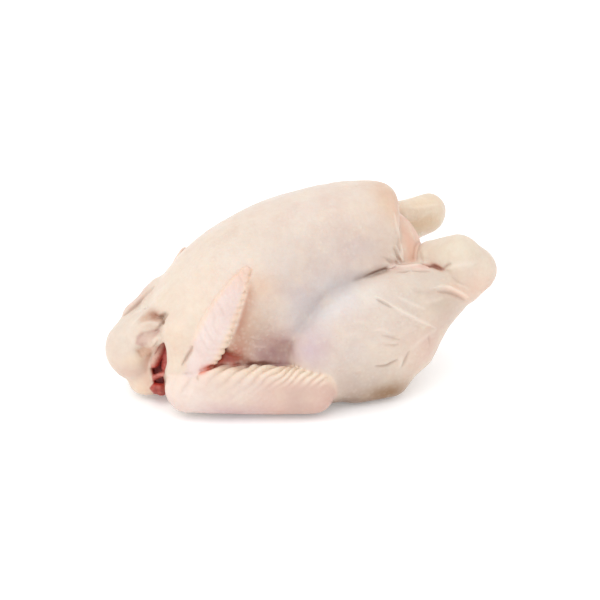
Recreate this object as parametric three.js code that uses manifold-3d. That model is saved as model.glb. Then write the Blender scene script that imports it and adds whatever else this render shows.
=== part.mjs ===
// Whole raw chicken, plucked and drawn, lying on its back with the breast up.
// Millimetres. +X runs from the neck to the tail, +Y to the far side, +Z up from the table.
// The origin is on the table under the middle of the bird. One closed solid.

import * as THREE from "three";
import Module from "manifold-3d";

// ---- driving dimensions ------------------------------------------------------------------

// Breast and back, measured at stations along X: half width, height of the breast line and
// height of the widest line. The back lies a fixed depth below the widest line.
const STATION_X = [-138, -130, -115, -92, -60, -25, 5, 28, 50, 66];
const HALF_WIDTH = [0, 24, 40, 51, 59, 59, 54, 49, 43, 20];
const BREAST_TOP = [57, 69, 86, 102, 116, 125, 128, 126, 116, 90];
const WIDEST_AT = [46, 46, 46, 47, 48, 50, 50, 50, 48, 46];
const BACK_DEPTH = 10;
const TRUNK_ROUNDNESS = 2.15;

// Blunt tail end of the breast: a wall that leans in below and curves back at the sides.
const WALL_X = 36;
const WALL_CURVE = 200;
const WALL_LEAN = 0.14;
const WALL_ROUND = 9;

// Width of the fillet where each part meets what comes before it in the list of parts.
const FILLET = {
  belly: 2.5, pelvis: 10, tail: 8, leg: 3, upperArm: 12, shoulder: 9, forearm: 3, hand: 2, neck: 6,
};

// Block of space that holds the bird, size of its cells, and faces kept before the flat cut.
const SPACE_LOW = [-170, -84, -12];
const SPACE_HIGH = [98, 84, 136];
const CELL = 4;
const FACES = 7600;

const SKIN_COLOR = 0xecd3c0;
const SKIN_ROUGHNESS = 0.45;

// ---- shapes as signed distances ----------------------------------------------------------

// Smallest of two distances with a fillet of about k between them.
function soften(a, b, k) {
  const h = Math.min(Math.max(0.5 + (0.5 * (b - a)) / k, 0), 1);
  return b + (a - b) * h - k * h * (1 - h);
}

// Smooth curve through the stations, level beyond its ends.
function along(x, stations, values) {
  const last = stations.length - 1;
  const at = Math.min(Math.max(x, stations[0]), stations[last]);
  let i = 0;
  while (i < last - 1 && at >= stations[i + 1]) i += 1;
  const slope = (k) => {
    const before = Math.max(k - 1, 0);
    const after = Math.min(k + 1, last);
    return (values[after] - values[before]) / (stations[after] - stations[before]);
  };
  const h = stations[i + 1] - stations[i];
  const t = (at - stations[i]) / h;
  const s = 1 - t;
  return (1 + 2 * t) * s * s * values[i] + t * s * s * h * slope(i)
    + t * t * (3 - 2 * t) * values[i + 1] - t * t * s * h * slope(i + 1);
}

// Ellipsoid with its centre and half sizes, tipped about Y by some degrees.
function blob(centre, half, tip = 0) {
  const [cx, cy, cz] = centre;
  const [a, b, c] = half;
  const cos = Math.cos(THREE.MathUtils.degToRad(tip));
  const sin = Math.sin(THREE.MathUtils.degToRad(tip));
  return (x, y, z) => {
    const u = (x - cx) * cos - (z - cz) * sin;
    const v = y - cy;
    const w = (x - cx) * sin + (z - cz) * cos;
    const near = Math.hypot(u / a, v / b, w / c);
    const steep = Math.hypot(u / (a * a), v / (b * b), w / (c * c)) + 1e-6;
    return (near * (near - 1)) / steep;
  };
}

// Rounded limb from one joint to the next, tapering between two radii. It can swell in the
// middle, bow to one side, and be flattened across a direction.
function limb(from, to, r0, r1, { swell = 0, bow = [0, 0, 0], across = null, flat = 1 } = {}) {
  const a = new THREE.Vector3(...from);
  const axis = new THREE.Vector3(...to).sub(a);
  const bend = new THREE.Vector3(...bow);
  const length2 = axis.lengthSq();
  const normal = new THREE.Vector3(...(across ?? [0, 0, 1]));
  normal.addScaledVector(axis, -normal.dot(axis) / length2).normalize();
  const squash = across ? 1 / (flat * flat) : 1;
  const w = new THREE.Vector3();
  return (x, y, z) => {
    w.set(x, y, z).sub(a);
    const t = Math.min(Math.max(w.dot(axis) / length2, 0), 1);
    const middle = 4 * t * (1 - t);
    w.addScaledVector(axis, -t).addScaledVector(bend, -middle);
    const n = w.dot(normal);
    const q = Math.sqrt(Math.max(w.lengthSq() + n * n * (squash - 1), 1e-6));
    const g = Math.sqrt(Math.max(w.lengthSq() + n * n * (squash * squash - 1), 1e-6)) / q;
    return (q - (r0 + (r1 - r0) * t + swell * middle)) / g;
  };
}

// Several shapes run together: [shape, fillet] pairs, in order.
function joined(first, ...others) {
  return (x, y, z) => {
    let d = first(x, y, z);
    for (const [shape, k] of others) d = soften(d, shape(x, y, z), k);
    return d;
  };
}

const mirrored = (shape) => (x, y, z) => shape(x, -y, z);

// ---- the bird ----------------------------------------------------------------------------

function trunkLevel(x, y, z) {
  const half = Math.max(along(x, STATION_X, HALF_WIDTH), 2);
  const middle = along(x, STATION_X, WIDEST_AT);
  const up = z > middle;
  const reach = up ? along(x, STATION_X, BREAST_TOP) - middle : middle + BACK_DEPTH;
  const p = TRUNK_ROUNDNESS;
  const q = (Math.abs(y) / half) ** p + (Math.abs(z - middle) / reach) ** p;
  const beyond = Math.max(STATION_X[0] - x, x - STATION_X[STATION_X.length - 1], 0);
  return (q ** (1 / p) - 1) * Math.min(half, reach) + beyond;
}

function trunk(x, y, z) {
  const level = trunkLevel(x, y, z);
  const step = 1;
  const slope = Math.hypot(
    trunkLevel(x + step, y, z) - trunkLevel(x - step, y, z),
    trunkLevel(x, y + step, z) - trunkLevel(x, y - step, z),
    trunkLevel(x, y, z + step) - trunkLevel(x, y, z - step),
  ) / (2 * step);
  return level / Math.min(Math.max(slope, 0.5), 6);
}

const tailWall = (x, y, z) => x - (WALL_X - (y * y) / WALL_CURVE) - (z - 112) * WALL_LEAN;

const belly = blob([25, 0, 82], [24.5, 41, 27], -4);
const pelvis = blob([14, 0, 36], [38, 46, 34]);
const tail = limb([28, 0, 24], [53, 0, 27], 20, 10, { across: [0.1, 0, 1], flat: 0.75 });
const vent = blob([54, 0, 50], [9, 14, 8]);

// Limbs are written for the near side, Y below 0.
const leg = joined(
  limb([-33, -51, 42], [63, -47, 69], 25, 16, { swell: 6 }),
  [limb([-38, -53, 25], [12, -51, 27], 24, 26, { across: [0, 1, 0], flat: 0.86 }), 12],
  [limb([25, -46, 38], [59, -46, 66], 22, 11), 10],
  [limb([-20, -46, 59], [52, -39, 74], 24, 10), 12],
);
const nearFoot = joined(
  limb([62, -47, 69], [75, -46.5, 72], 15.5, 14),
  [limb([75, -46, 81], [41, -25, 88], 12.5, 13), 6],
);
const farFoot = joined(
  limb([62, -47, 70], [76, -46, 76], 15, 12.5),
  [limb([79.5, -45, 85], [46, -27, 94], 12.5, 10.5), 6],
);
const upperArm = limb([-96, -38, 44], [-48, -54, 20], 16, 12);
const shoulder = limb([-118, -29, 52], [-118, -34, 18], 12.5, 12);
const forearm = limb([-117, -42, 16.5], [-45, -64, 16], 16, 15.5,
  { swell: 2, across: [0.35, -0.9, 0.25], flat: 0.82 });
const blade = { swell: 4, across: [-0.35, -1, 0.35], flat: 0.5, bow: [-2, -4, 1] };
const nearHand = limb([-117, -48, 33], [-82, -40, 92], 11, 4, blade);
const farHand = limb([-119, -45, 30], [-102, -35, 76], 10.5, 4, blade);

const neckSkin = joined(
  limb([-122, 10, 50], [-148, 1, 33], 14, 16.5),
  [blob([-139, -3, 14], [13.5, 21, 16]), 7],
  [blob([-149, 2, 30], [15, 20, 18]), 5],
  [limb([-116, 28, 53], [-139, 24, 41], 9, 8), 5],
  [limb([-118, -8, 60], [-140, -10, 46], 14, 11), 6],
);
const neckFold = limb([-130, -26, 54], [-146, -16, 56], 4.5, 3);
const neckOpening = limb([-132, -32, 36], [-138, -23, 5], 5, 6.5);

const parts = [
  [belly, FILLET.belly],
  [pelvis, FILLET.pelvis],
  [tail, FILLET.tail],
  [leg, FILLET.leg],
  [mirrored(leg), FILLET.leg],
  [nearFoot, FILLET.leg],
  [mirrored(farFoot), FILLET.leg],
  [upperArm, FILLET.upperArm],
  [mirrored(upperArm), FILLET.upperArm],
  [shoulder, FILLET.shoulder],
  [mirrored(shoulder), FILLET.shoulder],
  [forearm, FILLET.forearm],
  [mirrored(forearm), FILLET.forearm],
  [nearHand, FILLET.hand],
  [mirrored(farHand), FILLET.hand],
  [neckSkin, FILLET.neck],
];
const hollows = [[neckFold, 2], [neckOpening, 2], [vent, 4]];

function bird(x, y, z) {
  let d = -soften(-trunk(x, y, z), -tailWall(x, y, z), WALL_ROUND);
  for (const [shape, k] of parts) d = soften(d, shape(x, y, z), k);
  for (const [shape, k] of hollows) d = -soften(-d, shape(x, y, z), k);
  return d;
}

// ---- surface of the field ----------------------------------------------------------------

// Each cell is cut into six tetrahedra round its long diagonal: these are the corners on the
// way from corner 0 to corner 7, one bit for each axis, in turning order or against it.
const TETRAHEDRA = [
  { corners: [0, 1, 3, 7], turning: true }, { corners: [0, 2, 3, 7], turning: false },
  { corners: [0, 2, 6, 7], turning: true }, { corners: [0, 4, 6, 7], turning: false },
  { corners: [0, 4, 5, 7], turning: true }, { corners: [0, 1, 5, 7], turning: false },
];

// Whether an order of 0 to 3 is an even number of swaps.
function isEven(order) {
  let swaps = 0;
  for (let i = 0; i < 4; i += 1) {
    for (let j = i + 1; j < 4; j += 1) if (order[i] > order[j]) swaps += 1;
  }
  return swaps % 2 === 0;
}

function sampled(distance, low, n, cell) {
  const value = new Float64Array(n[0] * n[1] * n[2]);
  for (let k = 0, at = 0; k < n[2]; k += 1) {
    for (let j = 0; j < n[1]; j += 1) {
      for (let i = 0; i < n[0]; i += 1, at += 1) {
        value[at] = distance(low[0] + i * cell, low[1] + j * cell, low[2] + k * cell);
      }
    }
  }
  return value;
}

// Moves a point straight onto the zero level of the distance.
function settled(distance, point) {
  let [x, y, z] = point;
  const e = 0.05;
  for (let turn = 0; turn < 2; turn += 1) {
    const d = distance(x, y, z);
    const g = [distance(x + e, y, z) - d, distance(x, y + e, z) - d, distance(x, y, z + e) - d];
    const steep = (g[0] * g[0] + g[1] * g[1] + g[2] * g[2]) / (e * e);
    const move = Math.min(Math.max(d / Math.max(steep, 0.3), -0.6), 0.6) / e;
    x -= g[0] * move;
    y -= g[1] * move;
    z -= g[2] * move;
  }
  return [x, y, z];
}

function surface(distance, low, high, cell) {
  const n = low.map((v, k) => Math.ceil((high[k] - v) / cell) + 1);
  const value = sampled(distance, low, n, cell);
  const plane = n[0] * n[1];
  const placeOf = (at) => [at % n[0], Math.floor((at % plane) / n[0]), Math.floor(at / plane)];
  const points = [];
  const known = new Map();
  const pointOn = (a, b) => {
    const from = Math.min(a, b);
    const to = Math.max(a, b);
    const key = from * value.length + to;
    if (!known.has(key)) {
      const t = Math.min(Math.max(value[from] / (value[from] - value[to]), 0.15), 0.85);
      const p = placeOf(from);
      const q = placeOf(to);
      known.set(key, points.length);
      points.push(settled(distance, low.map((v, m) => v + (p[m] + (q[m] - p[m]) * t) * cell)));
    }
    return known.get(key);
  };
  const triangles = [];
  const addTetrahedron = (nodes, turning) => {
    const order = [0, 1, 2, 3].sort((i, j) => (value[nodes[j]] < 0) - (value[nodes[i]] < 0));
    const [a, b, c, d] = order.map((i) => nodes[i]);
    const count = nodes.filter((v) => value[v] < 0).length;
    const outward = isEven(order) === turning;
    let found = [];
    if (count === 1) found = [[pointOn(a, b), pointOn(a, c), pointOn(a, d)]];
    if (count === 3) found = [[pointOn(a, d), pointOn(b, d), pointOn(c, d)]];
    if (count === 2) {
      const ring = [pointOn(a, c), pointOn(a, d), pointOn(b, d), pointOn(b, c)];
      found = [[ring[0], ring[1], ring[2]], [ring[0], ring[2], ring[3]]];
    }
    found.forEach((face) => triangles.push(outward ? face : face.reverse()));
  };
  for (let k = 0; k < n[2] - 1; k += 1) {
    for (let j = 0; j < n[1] - 1; j += 1) {
      for (let i = 0; i < n[0] - 1; i += 1) {
        const at = i + j * n[0] + k * plane;
        const corner = (c) => at + (c & 1) + ((c >> 1) & 1) * n[0] + (c >> 2) * plane;
        const inside = [0, 1, 2, 3, 4, 5, 6, 7].filter((c) => value[corner(c)] < 0).length;
        if (inside > 0 && inside < 8) {
          TETRAHEDRA.forEach((t) => addTetrahedron(t.corners.map(corner), t.turning));
        }
      }
    }
  }
  return { points, triangles };
}

// The outer skin alone: pockets closed in between the limbs and the body are flesh.
function outerSkin({ points, triangles }) {
  const parent = points.map((_, v) => v);
  const rootOf = (v) => {
    let at = v;
    while (parent[at] !== at) {
      parent[at] = parent[parent[at]];
      at = parent[at];
    }
    return at;
  };
  for (const [a, b, c] of triangles) {
    parent[rootOf(a)] = rootOf(b);
    parent[rootOf(b)] = rootOf(c);
  }
  const highest = points.reduce((best, p, v) => (p[2] > points[best][2] ? v : best), 0);
  const skin = rootOf(highest);
  return { points, triangles: triangles.filter(([a]) => rootOf(a) === skin) };
}

// ---- fewer, larger faces -----------------------------------------------------------------

const minus = (p, q) => [p[0] - q[0], p[1] - q[1], p[2] - q[2]];
const dot = (p, q) => p[0] * q[0] + p[1] * q[1] + p[2] * q[2];
const cross = (p, q) => [
  p[1] * q[2] - p[2] * q[1], p[2] * q[0] - p[0] * q[2], p[0] * q[1] - p[1] * q[0],
];

// Sum of squared distances to planes, kept as a symmetric 4 x 4 matrix in ten numbers.
function planeQuadric(p, q, r) {
  const n = cross(minus(q, p), minus(r, p));
  const area = Math.hypot(...n);
  const [a, b, c] = n.map((v) => v / area);
  const d = -dot([a, b, c], p);
  return [a * a, a * b, a * c, a * d, b * b, b * c, b * d, c * c, c * d, d * d]
    .map((v) => v * area);
}

function quadricError(q, [x, y, z]) {
  return q[0] * x * x + 2 * q[1] * x * y + 2 * q[2] * x * z + 2 * q[3] * x
    + q[4] * y * y + 2 * q[5] * y * z + 2 * q[6] * y + q[7] * z * z + 2 * q[8] * z + q[9];
}

// The point of least error for an edge, or its middle where that point is far or undefined.
function mergePoint(q, p, r) {
  const middle = p.map((v, k) => (v + r[k]) / 2);
  const m = new THREE.Matrix3(q[0], q[1], q[2], q[1], q[4], q[5], q[2], q[5], q[7]);
  const size = q[0] + q[4] + q[7];
  if (Math.abs(m.determinant()) < 1e-4 * size ** 3) return middle;
  const best = new THREE.Vector3(-q[3], -q[6], -q[8]).applyMatrix3(m.invert()).toArray();
  return Math.hypot(...minus(best, middle)) < 1.5 * Math.hypot(...minus(p, r)) ? best : middle;
}

// Edge collapses in passes, cheapest first. A collapse keeps the surface closed (exactly two
// shared neighbours) and turns no face over.
function reduce({ points, triangles }, wanted) {
  let faces = triangles;
  const quadrics = points.map(() => new Array(10).fill(0));
  for (const face of faces) {
    const q = planeQuadric(...face.map((v) => points[v]));
    for (const v of face) for (let k = 0; k < 10; k += 1) quadrics[v][k] += q[k];
  }
  while (faces.length > wanted) {
    const around = points.map(() => []);
    faces.forEach((face, at) => face.forEach((v) => around[v].push(at)));
    const edges = [];
    for (const face of faces) {
      for (let k = 0; k < 3; k += 1) {
        const a = face[k];
        const b = face[(k + 1) % 3];
        if (a < b) {
          const q = quadrics[a].map((v, m) => v + quadrics[b][m]);
          const place = mergePoint(q, points[a], points[b]);
          const stretch = 1e-4 * dot(minus(points[a], points[b]), minus(points[a], points[b]));
          edges.push({ a, b, q, place, cost: quadricError(q, place) + stretch });
        }
      }
    }
    edges.sort((s, t) => s.cost - t.cost);
    edges.length = Math.ceil(edges.length * 0.35);
    const busy = new Set();
    const gone = new Set();
    const renamed = new Map();
    for (const { a, b, q, place } of edges) {
      if (faces.length - gone.size <= wanted) break;
      const ring = [...new Set([...around[a], ...around[b]])];
      const touched = new Set(ring.flatMap((at) => faces[at]));
      if ([...touched].some((v) => busy.has(v))) continue;
      const ofA = new Set(around[a].flatMap((at) => faces[at]));
      const ofB = new Set(around[b].flatMap((at) => faces[at]));
      const shared = [...ofA].filter((v) => ofB.has(v) && v !== a && v !== b);
      if (shared.length !== 2) continue;
      const shifted = (v) => (v === a || v === b ? place : points[v]);
      const kept = ring.filter((at) => !(faces[at].includes(a) && faces[at].includes(b)));
      const sound = kept.every((at) => {
        const [p, r, s] = faces[at].map((v) => points[v]);
        const [p2, r2, s2] = faces[at].map(shifted);
        const before = cross(minus(r, p), minus(s, p));
        const after = cross(minus(r2, p2), minus(s2, p2));
        return dot(before, after) > 0.3 * Math.hypot(...before) * Math.hypot(...after)
          && Math.hypot(...after) > 0.05;
      });
      if (!sound) continue;
      touched.forEach((v) => busy.add(v));
      ring.filter((at) => !kept.includes(at)).forEach((at) => gone.add(at));
      renamed.set(b, a);
      points[a] = place;
      quadrics[a] = q;
    }
    if (renamed.size === 0) break;
    faces = faces.filter((face, at) => !gone.has(at))
      .map((face) => face.map((v) => renamed.get(v) ?? v));
  }
  const used = [...new Set(faces.flat())];
  const rank = new Map(used.map((v, at) => [v, at]));
  return {
    points: used.map((v) => points[v]),
    triangles: faces.map((face) => face.map((v) => rank.get(v))),
  };
}

// ---- one solid, flat where it rests ------------------------------------------------------

const wasm = await Module();
wasm.setup();

const solid = ({ points, triangles }) => new wasm.Manifold(new wasm.Mesh({
  numProp: 3,
  vertProperties: Float32Array.from(points.flat()),
  triVerts: Uint32Array.from(triangles.flat()),
}));

// Box of table under the bird, as eight corners and twelve faces.
function table(half, depth) {
  const points = [];
  for (const z of [-depth, 0]) {
    for (const y of [-half, half]) {
      for (const x of [-half, half]) points.push([x, y, z]);
    }
  }
  const quads = [[0, 2, 3, 1], [4, 5, 7, 6], [0, 1, 5, 4], [2, 6, 7, 3], [0, 4, 6, 2], [1, 3, 7, 5]];
  const triangles = quads.flatMap(([a, b, c, d]) => [[a, b, c], [a, c, d]]);
  return { points, triangles };
}

const form = reduce(outerSkin(surface(bird, SPACE_LOW, SPACE_HIGH, CELL)), FACES);
const rested = solid(form).subtract(solid(table(400, 60))).getMesh();

const geometry = new THREE.BufferGeometry();
geometry.setAttribute("position", new THREE.BufferAttribute(Float32Array.from(rested.vertProperties), 3));
geometry.setIndex(new THREE.BufferAttribute(Uint32Array.from(rested.triVerts), 1));
geometry.computeBoundingBox();
const middle = geometry.boundingBox.getCenter(new THREE.Vector3());
geometry.translate(-middle.x, -middle.y, 0);
geometry.computeVertexNormals();

const chicken = new THREE.Mesh(
  geometry,
  new THREE.MeshStandardMaterial({ color: SKIN_COLOR, roughness: SKIN_ROUGHNESS, metalness: 0 }),
);
chicken.name = "chicken";

const group = new THREE.Group();
group.add(chicken);

export default group;
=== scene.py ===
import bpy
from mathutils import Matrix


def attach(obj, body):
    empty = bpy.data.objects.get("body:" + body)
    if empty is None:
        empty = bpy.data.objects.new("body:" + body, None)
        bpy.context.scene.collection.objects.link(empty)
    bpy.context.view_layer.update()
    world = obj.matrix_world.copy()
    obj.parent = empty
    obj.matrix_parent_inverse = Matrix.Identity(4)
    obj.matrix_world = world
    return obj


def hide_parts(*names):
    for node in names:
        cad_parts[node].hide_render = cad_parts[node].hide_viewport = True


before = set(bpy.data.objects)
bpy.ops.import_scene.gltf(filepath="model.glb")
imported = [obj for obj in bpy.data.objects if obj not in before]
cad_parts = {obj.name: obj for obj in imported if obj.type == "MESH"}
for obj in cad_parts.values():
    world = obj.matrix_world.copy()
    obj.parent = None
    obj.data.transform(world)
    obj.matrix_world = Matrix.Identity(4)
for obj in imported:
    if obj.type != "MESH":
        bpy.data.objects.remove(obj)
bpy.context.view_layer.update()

import math

import bpy
import numpy as np
from mathutils import Matrix, Vector

# The bird is worked out in millimetres in its own axes: X to the tail, Y to the far side,
# Z up from the table. MIDDLE_X is where the middle of its length lies in them.

MIDDLE_X = -36.65
CELL, LOW, HIGH = 0.8, (-172.0, -86.0, -4.0), (98.0, 86.0, 134.0)  # the grid of distances: its cell and corners
NEAR, FAR = -1, 1

# The trunk at stations along it: half its width, the top of the breast, and the height where it is widest
STATION_X = (-138, -130, -115, -92, -60, -25, 5, 28, 50, 66)
HALF_WIDTH = (0, 24, 40, 51, 59, 59, 54, 49, 43, 20)
BREAST_TOP = (55, 66, 83, 102, 116.5, 125.5, 128, 126, 116, 90)
WIDEST_AT = (46, 46, 46, 47, 48, 50, 50, 50, 48, 46)
BACK_DEPTH = 10
TRUNK_ROUNDNESS = 2.15
TRUNK_BOX = (-160, -90, -14), (90, 90, 140)
# Where the breast ends over the belly: at what X and Z, how it curves and leans, and how round its edge is
WALL_X, WALL_Z, WALL_CURVE, WALL_LEAN, WALL_ROUND = 32, 112, 200, 0.14, 8
# Room round a shape: how far beyond it the flesh is as it was, and how round its edge is
ROOM_ENDS, ROOM_ROUND = 4, 2.0
BASE_ROUND = 1.2  # how round the edge of the face on the table is
SLOPE_STEP = 0.6


# ---- Shapes as signed distances

def soft_min(a, b, k):
    h = np.clip(0.5 + 0.5 * (b - a) / k, 0, 1)
    return b + (a - b) * h - k * h * (1 - h)


def smooth(x, low, high):
    t = np.clip((x - low) / (high - low), 0, 1)
    return t * t * (3 - 2 * t)


def unit(v):
    v = np.asarray(v, float)
    return v / np.linalg.norm(v)


def along(x, stations, values):
    """Smooth curve through the stations, level beyond its ends."""
    xs, ys = np.array(stations, float), np.array(values, float)
    last = len(xs) - 1
    before, after = np.r_[0, :last], np.r_[1:last + 1, last]
    slope = (ys[after] - ys[before]) / (xs[after] - xs[before])
    x = np.clip(x, xs[0], xs[-1])
    i = np.clip(np.searchsorted(xs, x, side="right") - 1, 0, last - 1)
    h = xs[i + 1] - xs[i]
    t = (x - xs[i]) / h
    s = 1 - t
    return ((1 + 2 * t) * s * s * ys[i] + t * s * s * h * slope[i]
            + t * t * (3 - 2 * t) * ys[i + 1] - t * t * s * h * slope[i + 1])


def between(table, i, f):
    """Mean of the eight entries from each i on, by the shares f of the way to the next."""
    out = 0
    for corner in range(8):
        c = np.array([(corner >> m) & 1 for m in range(3)])
        out = out + np.prod(np.where(c, f, 1 - f), -1) * table[tuple(((i + c) % table.shape).T)]
    return out


class Blob:
    """Ellipsoid, tipped about Y."""

    def __init__(self, centre, half, tip=0):
        self.centre, self.half = np.array(centre, float), np.array(half, float)
        self.axes = np.array(Matrix.Rotation(math.radians(tip), 3, "Y"))

    def box(self, margin):
        reach = np.sqrt(((self.axes * self.half) ** 2).sum(1)) + margin
        return self.centre - reach, self.centre + reach

    def __call__(self, P):
        q = (P - self.centre) @ self.axes
        near = np.sqrt(((q / self.half) ** 2).sum(-1))
        steep = np.sqrt(((q / self.half ** 2) ** 2).sum(-1)) + 1e-6
        return near * (near - 1) / steep


class Limb:
    """Tapering rounded limb that can swell, bow, and be flattened across a direction."""

    def __init__(self, start, end, r0, r1, swell=0, bow=(0, 0, 0), across=None, flat=1):
        self.a, self.b, self.r0, self.r1 = np.array(start, float), np.array(end, float), r0, r1
        self.swell, self.bow, self.flat = swell, np.array(bow, float), flat
        axis = self.b - self.a
        self.thin = None
        if across is not None:
            across = np.array(across, float)
            self.thin = unit(across - axis * (across @ axis) / (axis @ axis))
            self.side = unit(np.cross(axis, self.thin))

    def box(self, margin):
        r = max(self.r0, self.r1) + abs(self.swell) + np.abs(self.bow).max() + margin + 2
        return np.minimum(self.a, self.b) - r, np.maximum(self.a, self.b) + r

    def frame_of(self, P):
        """Share of the way along it, from its middle line, and its radius there."""
        axis = self.b - self.a
        t = np.clip((P - self.a) @ axis / (axis @ axis), 0, 1)
        w = P - self.a - t[..., None] * axis - (4 * t * (1 - t))[..., None] * self.bow
        return t, w, self.r0 + (self.r1 - self.r0) * t + self.swell * 4 * t * (1 - t)

    def __call__(self, P):
        _, w, r = self.frame_of(P)
        w2 = (w * w).sum(-1)
        if self.thin is None:
            return np.sqrt(w2) - r
        n = w @ self.thin
        squash = 1 / self.flat ** 2
        q = np.sqrt(np.maximum(w2 + n * n * (squash - 1), 1e-6))
        g = np.sqrt(np.maximum(w2 + n * n * (squash * squash - 1), 1e-6)) / q
        return (q - r) / g


class Joined:
    """Shapes run together: the first, then (shape, fillet) pairs."""

    def __init__(self, first, *others):
        self.parts = [(first, 0)] + list(others)

    def box(self, margin):
        boxes = [shape.box(margin + k) for shape, k in self.parts]
        return np.min([b[0] for b in boxes], 0), np.max([b[1] for b in boxes], 0)

    def __call__(self, P):
        d = None
        for shape, k in self.parts:
            e = shape(P)
            d = e if d is None else soft_min(d, e, k)
        return d


class Pocket:
    """Hollow with a drawn edge: its corners are millimetres (across, up) from a middle on the skin, as seen
    along INTO, and it runs into the flesh that way, narrower with depth."""

    def __init__(self, middle, corners, depth, narrowing, ahead):
        self.middle, self.corners = np.array(middle, float), corners
        self.depth, self.narrowing, self.ahead = depth, narrowing, ahead

    def box(self, margin):
        ends = self.middle + np.outer((-self.ahead, self.depth), INTO)
        reach = max(math.hypot(*corner) for corner in self.corners) + margin
        return ends.min(0) - reach, ends.max(0) + reach

    def seen(self, P):
        """Millimetres across, up and into the flesh from the middle."""
        w = P - self.middle
        return w @ ACROSS, w @ UPWARD, w @ INTO

    def place(self, across, up, deep):
        return self.middle + across * ACROSS + up * UPWARD + deep * INTO

    def edge(self, u, v):
        """Distance to the drawn edge, below 0 inside it."""
        nearest, inside = np.full(u.shape, 1e9), np.zeros(u.shape, bool)
        for (au, av), (bu, bv) in zip(self.corners, self.corners[1:] + self.corners[:1]):
            du, dv = bu - au, bv - av
            t = np.clip(((u - au) * du + (v - av) * dv) / (du ** 2 + dv ** 2), 0, 1)
            nearest = np.minimum(nearest, (u - au - t * du) ** 2 + (v - av - t * dv) ** 2)
            if av != bv:
                inside ^= ((av > v) != (bv > v)) & (u < au + (v - av) * du / dv)
        return np.where(inside, -1, 1) * np.sqrt(nearest)

    def __call__(self, P):
        u, v, deep = self.seen(P)
        ends = np.maximum(deep - self.depth, -self.ahead - deep)
        return np.maximum(self.edge(u, v) + self.narrowing * deep, ends)


class Mirrored:
    def __init__(self, shape):
        self.shape = shape

    def box(self, margin):
        low, high = self.shape.box(margin)
        return np.array((low[0], -high[1], low[2])), np.array((high[0], -low[1], high[2]))

    def __call__(self, P):
        return self.shape(P * np.array((1, -1, 1), np.float32))


class Space:
    """Distances on a regular grid."""

    def __init__(self, low, high, cell):
        self.low, self.cell = np.array(low), cell
        self.n = np.ceil((np.array(high) - self.low) / cell).astype(int) + 1
        self.v = np.full(self.n, 60.0, np.float32)

    def block(self, low, high):
        i0 = np.clip(np.floor((np.array(low) - self.low) / self.cell).astype(int), 0, self.n)
        i1 = np.clip(np.ceil((np.array(high) - self.low) / self.cell).astype(int) + 1, 0, self.n)
        lines = [(self.low[k] + self.cell * np.arange(i0[k], i1[k])).astype(np.float32) for k in range(3)]
        return tuple(slice(a, b) for a, b in zip(i0, i1)), np.stack(np.meshgrid(*lines, indexing="ij"), -1)

    def join(self, shape, k, room=None, depth=1):
        """Adds a shape, first clearing some room round it that closes at a depth in what is there."""
        where, P = self.block(*shape.box(k + 8))
        old, new = self.v[where], shape(P)
        if room:
            room = room(P)
            gap = room + np.minimum(old, 0) * (room + ROOM_ENDS) / depth
            old = -soft_min(-old, new - gap, ROOM_ROUND)
        self.v[where] = soft_min(old, new, k)

    def cut(self, shape, k):
        where, P = self.block(*shape.box(k + 4))
        self.v[where] = -soft_min(-self.v[where], shape(P), k)

    def sample(self, P):
        """Value at any points, straight between the grid's own."""
        q = np.clip((P - self.low) / self.cell, 0, np.array(self.n) - 1.001)
        i = q.astype(int)
        return between(self.v, i, q - i)

    def slope(self, P):
        rises = [self.sample(P + step) - self.sample(P - step) for step in np.eye(3) * SLOPE_STEP]
        return np.stack(rises, -1) / (2 * SLOPE_STEP)


# ---- The bird's form

# Into the flesh from the near side, and what is across and up from there
INTO = unit((0.29, 0.866, -0.407))
ACROSS = unit(np.cross(INTO, (0, 0, 1)))
UPWARD = np.cross(ACROSS, INTO)


def trunk_level(P):
    x = P[..., 0]
    half = np.maximum(along(x, STATION_X, HALF_WIDTH), 2)
    middle = along(x, STATION_X, WIDEST_AT)
    dz = P[..., 2] - middle
    reach = np.where(dz > 0, along(x, STATION_X, BREAST_TOP) - middle, middle + BACK_DEPTH)
    p = TRUNK_ROUNDNESS
    q = ((np.abs(P[..., 1]) / half) ** p + (np.abs(dz) / reach) ** p) ** (1 / p)
    beyond = np.maximum(np.maximum(STATION_X[0] - x, x - STATION_X[-1]), 0)
    return (q - 1) * np.minimum(half, reach) + beyond


def trunk(P):
    level = trunk_level(P)
    slope = np.sqrt(sum(g * g for g in np.gradient(level, CELL)))
    level = level / np.clip(slope, 0.5, 6)
    wall = P[..., 0] - (WALL_X - P[..., 1] ** 2 / WALL_CURVE) - (P[..., 2] - WALL_Z) * WALL_LEAN
    return -soft_min(-level, -wall, WALL_ROUND)


# Each side's own leg: the hock, the knob beyond it and the stub that ends it, and how thick they are
LEGS = {
    NEAR: dict(hock=((63, -47, 70), 14), knob=((71.5, -46.5, 77.5), 15.5),
               stub=((60, -46.5, 87.5), (47, -36, 84), 15.5, 12.5)),
    FAR: dict(hock=((51, -45, 73), 13), knob=((75.5, -45, 81), 12.5),
              stub=((78, -45, 85.5), (52, -33, 92), 12, 7.5))}
FOREARM = ((-120, -40, 18.5), (-45, -64, 16))
CREST_BONE = ((-109, -50, 30), (-40.5, -68.5, 26.2))
NECK_RISE, NECK_RISES = 4.5, (-130, -122)  # how far the neck hangs clear of the table, and from where
HANDS = {  # from the wrist to the tip, and how thick at each
    NEAR: ((-116.5, -43.7, 31), (-80, -38.3, 94.2), 8, 2.2),
    FAR: ((-114, -42, 33), (-100.5, -40.3, 79.7), 7.5, 2.8)}


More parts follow.
